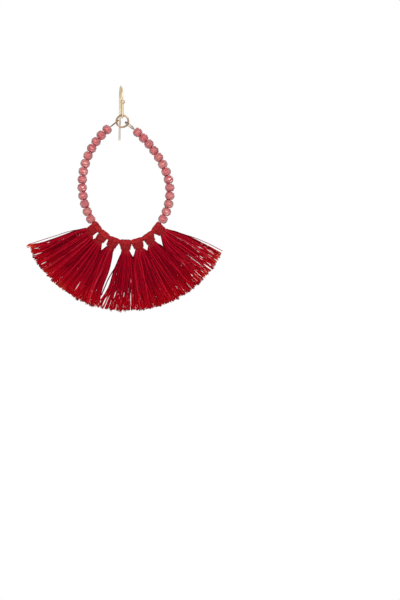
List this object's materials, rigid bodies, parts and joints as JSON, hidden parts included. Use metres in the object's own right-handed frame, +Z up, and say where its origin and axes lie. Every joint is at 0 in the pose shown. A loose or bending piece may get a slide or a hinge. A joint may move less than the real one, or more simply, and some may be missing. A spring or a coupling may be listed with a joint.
{
  "type": "tassel earring",
  "caption": "Drop earring: a ball-end ear hook, a jump ring and an egg-shaped wire hoop threaded with faceted beads and a fan of thread tassels.",
  "frame": {"origin": "underside of the hook's arch, at its top, where the ear carries it", "axes": "+Z up, +X to the right with the hoop seen face-on, +Y away from the viewer, towards the hook's back leg"},
  "size_m": [0.0764, 0.0148, 0.091],
  "materials": {
    "hook_gold": "polished pale gold plate",
    "ring_gold": "polished gold plate",
    "bead": "opaque coral glass with a thin grey lustre",
    "thread": "silky crimson floss",
    "wrap_thread": "brick red binding thread"
  },
  "bodies": {
    "hook": {"ear_hook": "hook_gold"},
    "link": {"jump_ring": "ring_gold"},
    "drop": {"hoop_wire": "ring_gold", "bead_left_01": "bead", "bead_left_02": "bead", "bead_left_03": "bead", "bead_left_04": "bead", "bead_left_05": "bead", "bead_left_06": "bead", "bead_left_07": "bead", "bead_left_08": "bead", "bead_left_09": "bead", "bead_left_10": "bead", "bead_left_11": "bead", "bead_left_12": "bead", "bead_left_13": "bead", "bead_right_01": "bead", "bead_right_02": "bead", "bead_right_03": "bead", "bead_right_04": "bead", "bead_right_05": "bead", "bead_right_06": "bead", "bead_right_07": "bead", "bead_right_08": "bead", "bead_right_09": "bead", "bead_right_10": "bead", "bead_right_11": "bead", "bead_right_12": "bead", "bead_right_13": "bead", "tassel_1": "thread", "tassel_2": "thread", "tassel_3": "thread", "tassel_4": "thread", "tassel_5": "thread", "tassel_6": "thread", "tassel_7": "thread", "tassel_wrap_1": "wrap_thread", "tassel_wrap_2": "wrap_thread", "tassel_wrap_3": "wrap_thread", "tassel_wrap_4": "wrap_thread", "tassel_wrap_5": "wrap_thread", "tassel_wrap_6": "wrap_thread", "tassel_wrap_7": "wrap_thread"}
  },
  "joints": [
    {"name": "ring_swing", "type": "hinge", "parent": "hook", "child": "link", "pos_m": [0.00069, -0.00561, -0.0124], "axis": [0, 1, 0], "range_deg": [-60, 60]},
    {"name": "drop_swing", "type": "hinge", "parent": "link", "child": "drop", "pos_m": [0.00057, -0.00561, -0.01457], "axis": [0.9866, 0, -0.1633], "range_deg": [-45, 30]}
  ]
}
